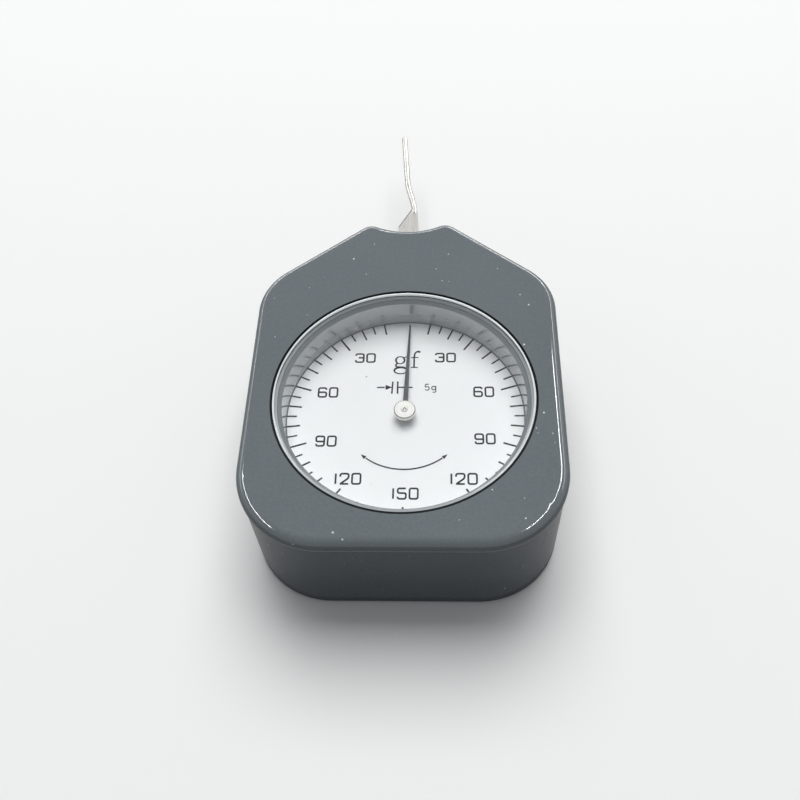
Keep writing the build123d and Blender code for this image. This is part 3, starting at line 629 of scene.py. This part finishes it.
leverSteel = grainedMetal("lever_steel", {
    "darker": (0.79, 0.775, 0.735), "lighter": (0.85, 0.835, 0.795),
    "stainTone": (0.60, 0.52, 0.42), "stain": 0.3,
    # painted reflection: the lever is darker where it turns away from the view
    "awayPaintedReflection": (0.17, 0.16, 0.14), "awayMost": 0.85, "awayFrom": (0.28, 0.75),
    "fineness": 5000.0, "length": 120.0, "markScale": 160.0,
    "roughness": (0.25, 0.31), "grainDepth": 0.05,
})
capNickel = grainedMetal("cap_nickel", {
    "darker": (0.86, 0.85, 0.81), "lighter": (0.91, 0.90, 0.86),
    "stainTone": (0.74, 0.71, 0.63), "stain": 0.25,
    "metallic": 0.3, "turned": True, "fineness": 9000.0, "markScale": 500.0,
    # painted shade: a dark line round the cap's rim
    "rimShadeRing": (1.95, 2.09), "rimShadeTone": (0.03, 0.028, 0.026),
    "roughness": (0.24, 0.34), "grainDepth": 0.3,
})
plateBrass = grainedMetal("plate_brass", {
    "darker": (0.62, 0.45, 0.19), "lighter": (0.76, 0.58, 0.28),
    "stainTone": (0.42, 0.30, 0.15), "stain": 0.4,
    "fineness": 3000.0, "length": 90.0, "markScale": 110.0,
    "roughness": (0.28, 0.42), "grainDepth": 0.3,
})
bushBrass = grainedMetal("bush_brass", {
    "darker": (0.68, 0.50, 0.22), "lighter": (0.82, 0.64, 0.33),
    "stainTone": (0.45, 0.33, 0.17), "stain": 0.3,
    "turned": True, "fineness": 7000.0, "markScale": 300.0,
    "roughness": (0.20, 0.32), "grainDepth": 0.25,
})
screwSteel = grainedMetal("screw_steel", {
    "darker": (0.46, 0.47, 0.49), "lighter": (0.62, 0.63, 0.65),
    "stainTone": (0.33, 0.32, 0.30), "stain": 0.4,
    "fineness": 4000.0, "length": 300.0, "markScale": 300.0,
    "roughness": (0.26, 0.40), "grainDepth": 0.3,
})
pinSteel = grainedMetal("pin_steel", {
    "darker": (0.62, 0.63, 0.65), "lighter": (0.76, 0.77, 0.79),
    "stainTone": (0.45, 0.44, 0.42), "stain": 0.2,
    "fineness": 7000.0, "length": 500.0, "markScale": 300.0,
    "roughness": (0.12, 0.22), "grainDepth": 0.15,
})
blueSpring = grainedMetal("blued_spring", {
    "darker": (0.10, 0.14, 0.26), "lighter": (0.18, 0.22, 0.36),
    "stainTone": (0.28, 0.20, 0.22), "stain": 0.4,
    "fineness": 5000.0, "length": 60.0, "markScale": 120.0,
    "roughness": (0.18, 0.30), "grainDepth": 0.2,
})
springBronze = grainedMetal("spring_bronze", {
    "darker": (0.55, 0.30, 0.15), "lighter": (0.72, 0.44, 0.24),
    "stainTone": (0.35, 0.20, 0.12), "stain": 0.3,
    "turned": True, "fineness": 6000.0, "markScale": 300.0,
    "roughness": (0.22, 0.34), "grainDepth": 0.2,
})
blockAluminium = grainedMetal("block_aluminium", {
    "darker": (0.60, 0.61, 0.63), "lighter": (0.75, 0.76, 0.78),
    "stainTone": (0.45, 0.45, 0.46), "stain": 0.3,
    "fineness": 2500.0, "length": 150.0, "markScale": 200.0,
    "roughness": (0.30, 0.44), "grainDepth": 0.4,
})

slotFinishes = {
    "case_black": casePlastic, "crystal_clear": crystalClear, "seal_grey": sealRubber,
    "dial_white": dialPaint, "print_black": dialInk, "plate_brass": plateBrass,
    "bush_brass": bushBrass, "steel_bright": leverSteel, "steel_screw": screwSteel,
    "steel_pin": pinSteel, "spring_bronze": springBronze, "spring_steel": blueSpring,
    "needle_dark": needlePaint, "cap_nickel": capNickel, "block_aluminium": blockAluminium,
}
ownFinishes = {"back_cover": coverPlastic, "pointer_boss": pinSteel, "pointer_arbor": capNickel}

for entry in frame["record"]["subparts"]:
    node = frame["nodes"][entry["node"]]
    finish = ownFinishes.get(entry["node"], slotFinishes[entry["material_slot"]])
    for place in node.material_slots:
        place.material = finish
print("finishes placed on the frame's nodes")


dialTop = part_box("dial_plate")[1].z / mm


def printOn(piece, name):
    return finishPiece(piece, name, "case", dialInk, dialTop)


printing = {
    "height": 0.04,
    "figureHeight": 2.45,
    "figureWidth": 1.95,
    "figureGap": 0.33,
    "oneGap": 0.52,        # after a one, which is only a line wide
    "line": 0.35,
    "corner": 0.36,
    # each figure is drawn in a box one wide and one high: lines, and whether one closes on itself
    "figures": {
        "0": [([(0, 0), (1, 0), (1, 1), (0, 1), (0, 0)], True)],
        "1": [([(0, 0), (0, 1)], False)],
        "2": [([(0, 0.70), (0, 1), (1, 1), (1, 0.56), (0.03, 0)], False),
              ([(0, 0), (1, 0)], False)],
        "3": [([(0, 0.8), (0, 1), (1, 1), (1, 0), (0, 0), (0, 0.24)], False),
              ([(0.36, 0.53), (1, 0.53)], False)],
        "5": [([(0.97, 1), (0, 1), (0, 0.55), (1, 0.55), (1, 0), (0, 0), (0, 0.2)], False)],
        "6": [([(0.97, 0.8), (0.97, 1), (0, 1), (0, 0), (1, 0), (1, 0.52), (0, 0.52)], False)],
        "9": [([(1, 0.46), (0, 0.46), (0, 1), (1, 1), (1, 0), (0.03, 0), (0.03, 0.22)], False)],
    },
    # number and side, then left, right, bottom and top of its place
    "places": [
        ("30", "left", -10.5, -6.27, 12.9, 15.3),
        ("30", "right", 5.75, 10.0, 12.9, 15.3),
        ("60", "left", -17.5, -13.4, 4.4, 6.9),
        ("60", "right", 13.35, 17.45, 4.4, 6.9),
        ("90", "left", -17.15, -13.0, -6.93, -4.43),
        ("90", "right", 13.33, 17.4, -6.45, -3.98),
        ("120", "left", -12.85, -7.85, -15.17, -12.64),
        ("120", "right", 8.74, 13.82, -15.17, -12.64),
        ("150", "bottom", -2.0, 2.9, -18.27, -15.75),
    ],
}


def makeFigure(lines, values):
    half = values["line"] / 2
    wide = values["figureWidth"] - values["line"]
    high = values["figureHeight"] - values["line"]
    strokes = []
    for points, closed in lines:
        placed = [(half + x * wide, half + y * high) for x, y in points]
        corner = values["corner"] if len(points) > 2 else 0.0
        strokes.append(drawStroke(placed, values["line"], values["height"], corner, closed))
    figure = joinAll(strokes)
    applyPlace(figure)
    return figure


def makeNumber(number, left, right, bottom, top, figures, values):
    # the figures stand side by side, stretched to fill the number's place
    ones = [sign == "1" for sign in number]
    widths = [values["line"] if one else values["figureWidth"] for one in ones]
    gaps = [values["oneGap"] if one else values["figureGap"] for one in ones[:-1]] + [0]
    stretch = (right - left) / (sum(widths) + sum(gaps))
    copies = []
    for sign, width, gap in zip(number, widths, gaps):
        copy = copyOf(figures[sign], (left * mm, bottom * mm, 0))
        copy.scale = (stretch, (top - bottom) / values["figureHeight"], 1)
        copies.append(copy)
        left += (width + gap) * stretch
    return joinAll(copies)


figures = {sign: makeFigure(lines, printing) for sign, lines in printing["figures"].items()}
for number, side, *edges in printing["places"]:
    printOn(makeNumber(number, *edges, figures, printing), "figures_" + number + "_" + side)
for figure in figures.values():
    bpy.data.objects.remove(figure)
print("figures printed")

unitLetters = {
    "height": 0.04,
    "thin": 0.21,
    "thick": 0.34,
    # the left letter, its rings as middle, outer and inner half sizes, and the inner one's shift
    "bowl": ((-1.28, 13.5), (1.06, 1.0), (0.68, 0.80), (0, 0)),
    "loop": ((-1.16, 10.95), (1.42, 0.95), (1.12, 0.62), (0.06, -0.08)),
    "link": [(-1.8, 12.8), (-2.2, 12.25), (-1.95, 11.82), (-0.6, 11.74), (-0.05, 11.45)],
    "linkCorner": 0.2,
    "ear": [(-0.62, 14.1), (-0.1, 14.3), (0.35, 14.3)],
    "earCorner": 0.1,
    # the right letter
    "stem": [(1.55, 11.65), (1.55, 14.7), (1.85, 15.6), (2.5, 15.72)],
    "stemCorner": 0.45,
    "drop": ((2.55, 15.58), 0.25),      # middle and radius
    "bar": [(0.95, 14.15), (2.42, 14.15)],
    "foot": [(0.88, 11.68), (2.3, 11.68)],
}


def makeLetterG(values):
    height = values["height"]
    return joinAll([
        drawRing(*values["bowl"], height),
        drawRing(*values["loop"], height),
        drawStroke(values["link"], values["thick"], height, values["linkCorner"]),
        drawStroke(values["ear"], values["thin"], height, values["earCorner"]),
    ])


def makeLetterF(values):
    height = values["height"]
    return joinAll([
        drawStroke(values["stem"], values["thick"], height, values["stemCorner"]),
        drawDisc(*values["drop"], height),
        drawStroke(values["bar"], values["thin"], height),
        drawStroke(values["foot"], values["thin"], height),
    ])


printOn(makeLetterG(unitLetters), "unit_letter_left")
printOn(makeLetterF(unitLetters), "unit_letter_right")

stepMark = {
    "height": 0.04,
    "line": 0.28,
    "bar": 0.32,
    "row": 6.8,
    "tail": (-5.74, -4.2),      # from and to, along the row
    "head": -3.6,
    "headSize": 0.8,
    "headStretch": (0.85, 1.1),
    "firstBar": [(-2.75, 5.28), (-2.62, 8.2)],
    "secondBar": [(-1.62, 5.28), (-1.62, 8.2)],
    "onward": (-1.62, 1.36),
}


def makeStepMark(values):
    # the sign for one division: an arrow to the first of two bars, and a line on from the second
    row, height = values["row"], values["height"]
    tail, onward = [[(end, row) for end in values[name]] for name in ("tail", "onward")]
    return joinAll([
        drawStroke(tail, values["line"], height),
        drawDisc((values["head"], row), values["headSize"], height, corners=3, turn=-90,
                 stretch=values["headStretch"]),
        drawStroke(values["firstBar"], values["bar"], height),
        drawStroke(values["secondBar"], values["bar"], height),
        drawStroke(onward, values["line"], height),
    ])


printOn(makeStepMark(stepMark), "step_mark")

stepValue = {
    "height": 0.04,
    "line": 0.19,
    "left": 3.85,
    "base": 6.1,
    "width": 0.78,
    "high": 1.42,
    "gap": 0.42,
    "bowl": 0.5,
    "drop": 0.5,
    # the five is drawn in a box one wide and one high
    "five": [(0.95, 1), (0.1, 1), (0, 0.52), (0.7, 0.6), (1, 0.44), (1, 0.16), (0.7, 0), (0.3, 0),
             (0, 0.12)],
}


def makeStepValue(values):
    # how much one division is worth: a five and the sign for grams
    left, base, line, height = values["left"], values["base"], values["line"], values["height"]
    placed = [(left + x * values["width"], base + y * values["high"]) for x, y in values["five"]]
    five = drawStroke(placed, line, height, line / 2)
    bowl = values["bowl"]
    middle = left + values["width"] + values["gap"] + bowl
    side = middle + bowl - line / 2
    foot = base - values["drop"]
    ring = drawRing((middle, base + bowl), (bowl, bowl), (bowl - line, bowl - line), (0, 0), height)
    tail = drawStroke([(side, base + 2 * bowl), (side, foot), (middle - bowl / 2, foot)],
                      line, height, line)
    return joinAll([five, ring, tail])


printOn(makeStepValue(stepValue), "step_value")

wayArrow = {
    "height": 0.04,
    "line": 0.28,
    "radius": 11.9,
    "reach": 40.0,          # degrees from straight down to each head
    "lineShort": 2.5,       # degrees that the line stops short of a head's middle
    "headSize": 0.75,
    "headStretch": (0.6, 1),
    "steps": 48,
}


def makeWayArrow(values):
    # a plain curved arrow that points both ways, since the gauge reads both ways
    radius, reach = values["radius"], values["reach"]
    lineReach = reach - values["lineShort"]
    start = radians(-90 - lineReach)
    arc = startPoint(radius * cos(start), radius * sin(start))
    bpy.ops.mesh.spin(steps=values["steps"], angle=-radians(2 * lineReach), center=(0, 0, 0),
                      axis=(0, 0, 1))
    selectWhole()
    drawOn(0, 0, values["height"])
    closeShell()
    giveWidth(arc, values["line"])
    parts = [arc]
    for side in (-1, 1):
        angle = radians(-90 + side * reach)
        middle = (radius * cos(angle), radius * sin(angle))
        parts.append(drawDisc(middle, values["headSize"], values["height"], corners=3,
                              turn=side * (reach - 90), stretch=values["headStretch"]))
    return joinAll(parts)


printOn(makeWayArrow(wayArrow), "two_way_arrow")
print("unit and marks printed")

crystal = {
    "back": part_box("crystal")[0].z / mm,
    "radius": 24.75,
    "thickness": 1.7,
    "groundIn": 24.36,      # the ground edge starts at this radius
    "groundDrop": 0.10,     # and slopes down by this much
    "groundAbove": 0.2,     # faces this far above the back are ground too
    "corner": 0.04,
    "pinHole": 0.02,        # left at the axis while the profile is turned
    "closing": 0.05,        # and closed to a point with this reach
    "steps": 144,
    "smoothAngle": 12,
}


def makeCrystal(values):
    radius, thickness, corner = values["radius"], values["thickness"], values["corner"]
    edge = thickness - values["groundDrop"]
    disc = turnProfile([
        (values["pinHole"], 0), (radius, 0), (radius, edge - corner), (radius - corner, edge),
        (values["groundIn"], thickness), (values["pinHole"], thickness)], values["steps"])
    bpy.ops.object.mode_set(mode='EDIT')
    weldPoints(values["closing"])
    closeShell()
    return disc


def markGround(piece, values):
    piece.data.materials.append(crystalGround)
    for face in piece.data.polygons:
        reach = (face.center.x ** 2 + face.center.y ** 2) ** 0.5 / mm
        above = face.center.z / mm - values["back"]
        if reach > values["groundIn"] and above > values["groundAbove"]:
            face.material_index = 1
    bpy.ops.object.shade_smooth_by_angle(angle=radians(values["smoothAngle"]))


markGround(finishPiece(makeCrystal(crystal), "crystal_window", "case",
                       crystalClear, crystal["back"], standsFor="crystal"), crystal)

# a dark ring at the foot of the bore's wall: painted shade, standing in for the shadow in the seam
# between the dial and the wall
seamShade = {
    # radius and height above the dial
    "profile": [(23.06, 0.06), (23.18, 0.06), (23.18, 0.11), (23.10, 0.11)],
    "steps": 144,
}
finishPiece(turnProfile(seamShade["profile"], seamShade["steps"]), "dial_seam_shade_ring", "case",
            seamShadeFinish, dialTop)
print("window made")

cap = {
    # radius and height above the needle: bore, underside, groove, rim, top
    "profile": [(0.63, 0.01), (1.72, 0.01), (1.78, 0.07), (1.78, 0.16), (2.04, 0.18), (2.10, 0.24),
                (2.10, 0.99), (2.07, 1.05), (2.00, 1.10), (0.66, 1.10), (0.63, 1.07)],
    "steps": 72,
    "smoothAngle": 25,
    # painted shade on the arbor's end: two short dark strokes standing in for the shaded far wall
    # of a small hole
    "strokes": [[(-0.10, 0.40), (0.35, -0.24)], [(-0.07, 0.14), (-0.30, -0.34)]],
    "strokeWidth": 0.16,
    "strokeHeight": 0.02,
}
finishPiece(turnProfile(cap["profile"], cap["steps"]), "pointer_cap_turned", "pointer",
            capNickel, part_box("pointer_cap")[0].z / mm, standsFor="pointer_cap")
bpy.ops.object.shade_smooth_by_angle(angle=radians(cap["smoothAngle"]))
strokes = [drawStroke(points, cap["strokeWidth"], cap["strokeHeight"]) for points in cap["strokes"]]
finishPiece(joinAll(strokes), "arbor_painted_hole_shade", "pointer", needlePaint,
            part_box("pointer_arbor")[1].z / mm)

needle = {
    # heights above the needle's back
    "edge": 0.09,          # the long edges
    "ridge": 0.22,         # the ridge along the middle
    "eyeTop": 0.215,
    "eyeSide": 0.16,
    "eye": 1.75,
    "eyeSlope": 0.08,
    "eyeBore": 0.63,
    "eyeSteps": 48,
    "reach": 21.6,
    "rootWidth": 1.05,
    "tipWidth": 0.32,
    "turn": -1.7,          # degrees, as it rests
    "start": 1.3,
}


def makeNeedle(values):
    # the blade's section at its root, drawn out to the tip and narrowed there
    half = values["rootWidth"] / 2
    section = [(-half, 0), (half, 0), (half, values["edge"]), (0, values["ridge"]),
               (-half, values["edge"])]
    blade = startProfile(section, values["start"])
    bpy.ops.mesh.edge_face_add()
    drawOn(0, values["reach"] - values["start"])
    bpy.ops.transform.resize(value=(values["tipWidth"] / values["rootWidth"], 1, 1),
                             center_override=(0, values["reach"] * mm, 0))
    closeShell()
    eye = turnProfile([
        (values["eyeBore"], 0), (values["eye"], 0), (values["eye"], values["eyeSide"]),
        (values["eye"] - values["eyeSlope"], values["eyeTop"]),
        (values["eyeBore"], values["eyeTop"])], values["eyeSteps"])
    piece = joinAll([blade, eye])
    applyPlace(piece)
    bpy.ops.object.mode_set(mode='EDIT')
    selectWhole()
    bpy.ops.transform.rotate(value=radians(-values["turn"]), orient_axis='Z',
                             center_override=(0, 0, 0))
    bpy.ops.object.mode_set(mode='OBJECT')
    return piece


finishPiece(makeNeedle(needle), "needle_ridged", "pointer", needlePaint,
            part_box("needle")[0].z / mm, standsFor="needle")
print("cap and needle made")

studio = {
    # places and sizes are in metres
    "floorSize": 6,
    "floorDrop": 0.00005,
    "floorTone": (0.89, 0.90, 0.91),
    "floorUneven": 0.995,      # the darker parts of the paper, against the rest
    "floorMarks": {"Scale": 6.0, "Contrast": 0.4},
    "floorFinish": {"Roughness": 0.85, "Specular IOR Level": 0.1, "Emission Strength": 1.0},
    "floorGiven": 0.32,        # share of the floor's tone that matt surfaces get back
    "floorMirrored": 0.45,     # share of it that glossy surfaces show
    "fadeReach": (0.5, 1.6),   # from the middle, where the floor runs into the backdrop
    "backdrop": (0.94, 0.955, 0.97),
    "worldGlow": 0.27,         # what the surroundings give to matt surfaces
    "skyTone": (0.97, 0.985, 1.0),
    "ceilingTone": 0.50,       # what gloss sees overhead, against 1 at the horizon
    "ceilingFrom": (0.1, 0.75),
    "aim": (0, 0, 0.015),
    "keyPlace": (0.02, 0.73, 1.43),
    "keySize": (1.2, 1.2),
    "keyPower": 24.5,
    "keyTone": (1.0, 0.99, 0.97),
    "backPlace": (0.0, 1.2, 0.42),
    "backSize": (1.5, 0.07),
    "backPower": 6.0,
    "stripWidth": 0.03,
    # across, along from and to, height, power: two for the glints, two faint ones for the rim
    "strips": [(-0.40, -0.16, 0.30, 0.50, 2.0), (0.24, -0.11, 0.36, 0.50, 2.0),
               (-0.40, 0.0, 0.75, 0.17, 0.7), (0.24, 0.0, 0.60, 0.17, 0.6)],
}
anyBounce = 0.5            # a ray's diffuse depth is above this once it has left something matt


def shadeOf(tone, share):
    return tuple(part * share for part in tone)


def makeFloor(values):
    bpy.ops.object.select_all(action='DESELECT')
    bpy.ops.mesh.primitive_plane_add(size=values["floorSize"],
                                     location=(0, 0, -values["floorDrop"]))
    floor = bpy.context.object
    floor.name = "floor"
    finish, tree, shader, vector = newFinish("floor_paper", values["floorFinish"])
    marks = placeGroup(tree, handling, vector, values["floorMarks"])
    tone = values["floorTone"]
    paper = mixTones(tree, marks.outputs["Tone"], shadeOf(tone, values["floorUneven"]), tone)
    light = tree.nodes.new('ShaderNodeLightPath')
    mirrored = mixTones(tree, light.outputs["Is Glossy Ray"], paper,
                        shadeOf(tone, values["floorMirrored"]))
    matt = addMath(tree, 'GREATER_THAN', light.outputs["Diffuse Depth"], anyBounce)
    given = mixTones(tree, matt, mirrored, shadeOf(tone, values["floorGiven"]))
    # only the camera sees the floor run out into the backdrop
    far = mapRange(tree, addRadius(tree, vector), 0.0, 1.0, *values["fadeReach"])
    fade = addMath(tree, 'MULTIPLY', far, light.outputs["Is Camera Ray"])
    dark = (0, 0, 0)
    tree.links.new(mixTones(tree, fade, given, dark), shader.inputs["Base Color"])
    glow = mixTones(tree, fade, dark, values["backdrop"])
    tree.links.new(glow, shader.inputs["Emission Color"])
    floor.data.materials.append(finish)


def makeSurroundings(values):
    world = bpy.data.worlds.new("studio")
    bpy.context.scene.world = world
    world.use_nodes = True
    tree = world.node_tree
    background = tree.nodes["Background"].inputs
    light = tree.nodes.new('ShaderNodeLightPath')
    seen = light.outputs["Is Camera Ray"]
    for label in ("Is Glossy Ray", "Is Transmission Ray"):
        seen = addMath(tree, 'MAXIMUM', seen, light.outputs[label])
    direct = addMath(tree, 'LESS_THAN', light.outputs["Diffuse Depth"], anyBounce)
    seen = addMath(tree, 'MULTIPLY', seen, direct)
    coords = tree.nodes.new('ShaderNodeTexCoord')
    rise = splitVector(tree, coords.outputs["Generated"])[2]
    overhead = mapRange(tree, rise, 1.0, values["ceilingTone"], *values["ceilingFrom"])
    shown = addMath(tree, 'MULTIPLY', seen, overhead)
    unseen = addMath(tree, 'SUBTRACT', 1.0, seen)
    given = addMath(tree, 'MULTIPLY', unseen, values["worldGlow"])
    background["Color"].default_value = (*values["skyTone"], 1)
    tree.links.new(addMath(tree, 'ADD', shown, given), background["Strength"])


def addLamp(name, place, size, power, tone=(1, 1, 1), along=None):
    toward = (Vector(studio["aim"]) - Vector(place)).normalized()
    light = bpy.data.lights.new(name, 'AREA')
    light.shape = 'RECTANGLE'
    light.size, light.size_y = size
    light.energy = power
    light.color = tone
    lamp = bpy.data.objects.new(name, light)
    bpy.context.scene.collection.objects.link(lamp)
    lamp.location = place
    lamp.rotation_euler = toward.to_track_quat('-Z', 'Y').to_euler()
    if along:  # the long side lies along this direction
        long = (Vector(along) - toward * Vector(along).dot(toward)).normalized()
        across = long.cross(-toward)
        lamp.rotation_euler = Matrix((across, long, -toward)).transposed().to_euler()
    return lamp


makeFloor(studio)
makeSurroundings(studio)
key = addLamp("key", studio["keyPlace"], studio["keySize"], studio["keyPower"], studio["keyTone"])
key.visible_glossy = False  # its mirror image would wash out the face and the window
key.visible_transmission = False
edgeLamps = [addLamp("back", studio["backPlace"], studio["backSize"], studio["backPower"])]
for number, (across, start, end, height, power) in enumerate(studio["strips"]):
    place = (across, (start + end) / 2, height)
    size = (studio["stripWidth"], end - start)
    edgeLamps.append(addLamp(f"strip_{number + 1}", place, size, power, along=(0, 1, 0)))
for lamp in edgeLamps:  # only there for the glints along the edges
    lamp.visible_camera = False
    lamp.visible_diffuse = False
    lamp.visible_transmission = False

view = {
    # place and film in millimetres, turn in degrees
    "place": (8.063, -96.793, 167.013),
    "turn": (34.076, 2.533, 1.457),
    "lens": 41.094,
    "film": 36,
    "nearest": 0.005,      # metres
}
lens = bpy.data.cameras.new("camera")
lens.lens = view["lens"]
lens.sensor_width = view["film"]
lens.clip_start = view["nearest"]
camera = bpy.data.objects.new("camera", lens)
bpy.context.scene.collection.objects.link(camera)
camera.location = tuple(value * mm for value in view["place"])
camera.rotation_euler = tuple(radians(value) for value in view["turn"])
bpy.context.scene.camera = camera
bpy.context.scene.view_settings.view_transform = 'Standard'
print("studio ready")

bpy.context.view_layer.update()
